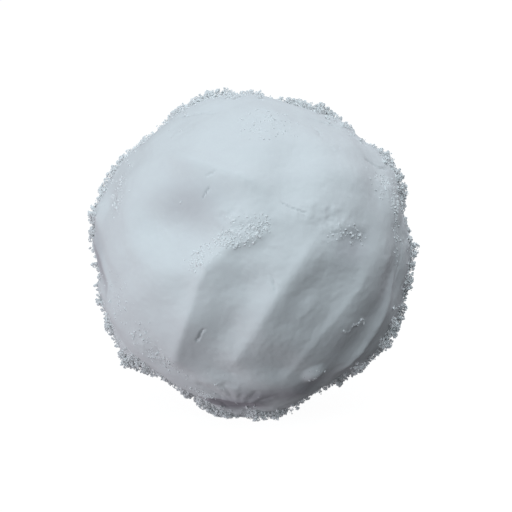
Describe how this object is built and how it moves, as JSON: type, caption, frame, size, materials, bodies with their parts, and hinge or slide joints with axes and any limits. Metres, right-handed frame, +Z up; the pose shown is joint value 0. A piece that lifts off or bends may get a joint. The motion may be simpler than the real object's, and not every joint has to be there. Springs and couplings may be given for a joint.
{
  "type": "snowball",
  "caption": "Hand-packed snowball with finger furrows, pressed hollows and loose crumbs clinging to it, resting on a small flat spot.",
  "frame": {"origin": "in the flat spot the ball stands on, straight below the ball's middle", "axes": "+Z up, out of the flat spot and through the ball's middle; -Y towards the side with the clearest finger marks"},
  "size_m": [0.0886, 0.0841, 0.085],
  "materials": {
    "snow": null
  },
  "bodies": {
    "root": {"snowball": "snow"}
  },
  "joints": []
}
